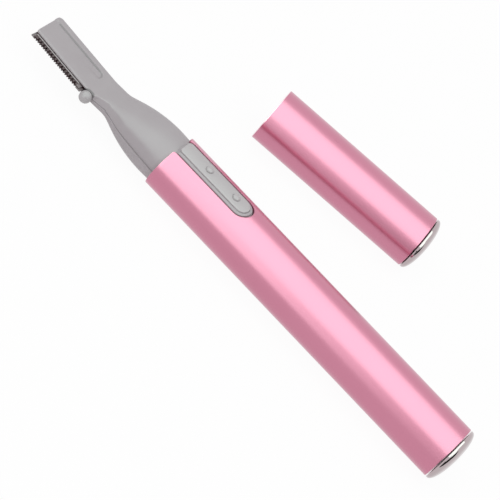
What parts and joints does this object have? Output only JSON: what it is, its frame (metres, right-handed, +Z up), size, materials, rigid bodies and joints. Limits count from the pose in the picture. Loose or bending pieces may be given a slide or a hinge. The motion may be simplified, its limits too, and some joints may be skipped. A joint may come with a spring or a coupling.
{
  "type": "facial hair trimmer",
  "caption": "Slim oval pen-shaped facial hair trimmer with a side-toothed blade, a thumb switch strip, a bright domed end and a pull-off cap lying beside it.",
  "frame": {"origin": "on the underside of the handle sleeve, at the middle of its length, where it rests on the surface", "axes": "+X along the handle from the blade towards the bright end plate, +Z up out of the switch strip, -Y the side the teeth point to"},
  "size_m": [0.1462, 0.0666, 0.0146],
  "materials": {
    "pink_aluminium": "satin anodised, pink",
    "bright_plate": "polished, mirror bright",
    "grey_plastic": "moulded mid grey, fine matt skin",
    "pale_plastic": "moulded light grey",
    "white_plastic": "moulded off-white",
    "black_plastic": "moulded black",
    "cushion_rubber": "soft black rubber",
    "blade_steel": "ground steel",
    "motor_steel": "drawn plated steel",
    "contact_brass": "stamped brass",
    "cell_jacket": "printed wrap, left plain"
  },
  "bodies": {
    "housing": {"lower_housing": "grey_plastic", "upper_housing": "grey_plastic", "blade_cover": "grey_plastic", "comb_blade": "blade_steel", "comb_catch": "pale_plastic", "lever_pivot": "blade_steel", "motor_can": "motor_steel", "motor_bearing": "contact_brass", "motor_end_bell": "black_plastic", "motor_cushion": "cushion_rubber", "motor_terminal_left": "contact_brass", "motor_terminal_right": "contact_brass", "battery_cell": "cell_jacket", "positive_contact": "contact_brass", "negative_strap": "contact_brass", "negative_spring": "blade_steel"},
    "sleeve": {"handle_sleeve": "pink_aluminium", "handle_end_plug": "white_plastic", "handle_end_plate": "bright_plate"},
    "switch": {"switch_pad": "grey_plastic", "switch_bridge": "contact_brass"},
    "rotor": {"crank": "contact_brass", "motor_shaft": "blade_steel"},
    "lever": {"drive_lever": "white_plastic"},
    "cutter": {"cutter_blade": "blade_steel", "drive_rod": "white_plastic"},
    "cap": {"cap_sleeve": "pink_aluminium", "cap_liner": "white_plastic", "cap_end_plug": "white_plastic", "cap_end_plate": "bright_plate"}
  },
  "joints": [
    {"name": "sleeve_slide", "type": "slide", "parent": "housing", "child": "sleeve", "axis": [1, 0, 0], "range_m": [0, 0.075]},
    {"name": "switch_slide", "type": "slide", "parent": "housing", "child": "switch", "axis": [-1, 0, 0], "range_m": [0, 0.0015]},
    {"name": "rotor_spin", "type": "hinge", "parent": "housing", "child": "rotor", "pos_m": [-0.045, 0, 0.00698], "axis": [1, 0, 0], "continuous": true},
    {"name": "lever_swing", "type": "hinge", "parent": "housing", "child": "lever", "pos_m": [-0.0531, 0.00068, 0.00698], "axis": [0, 0, 1], "range_deg": [-5.7, 5.7]},
    {"name": "cutter_slide", "type": "slide", "parent": "housing", "child": "cutter", "axis": [0.9957, -0.0924, 0], "range_m": [-0.00037, 0.00037]},
    {"name": "cap_pull", "type": "slide", "parent": "housing", "child": "cap", "axis": [0.9899, 0.1418, 0], "range_m": [0, 0.05]}
  ],
  "couplings": [
    {"joint": "lever_swing", "follows": "cutter_slide", "rad_per_m": 264.29}
  ]
}
